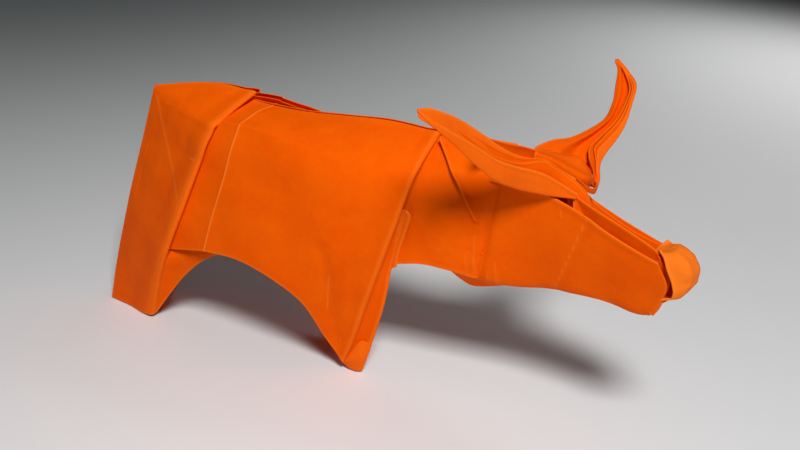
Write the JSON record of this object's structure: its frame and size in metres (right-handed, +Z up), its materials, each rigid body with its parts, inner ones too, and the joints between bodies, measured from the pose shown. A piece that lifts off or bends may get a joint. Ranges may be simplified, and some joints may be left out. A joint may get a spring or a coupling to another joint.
{
  "type": "origami water buffalo",
  "caption": "Origami water buffalo folded from one square of orange paper: tent-like body on pointed legs, low head with a rounded muzzle, and curved, opened horns.",
  "frame": {"origin": "centre of the bounding box at the table, under the belly", "axes": "+X from tail to muzzle, +Y to the animal's left, +Z up"},
  "size_m": [0.0986, 0.0475, 0.0564],
  "materials": {
    "paper": "matt dyed folding paper with soft creases and pressed folds"
  },
  "bodies": {
    "root": {"folded_sheet": "paper"}
  },
  "joints": []
}
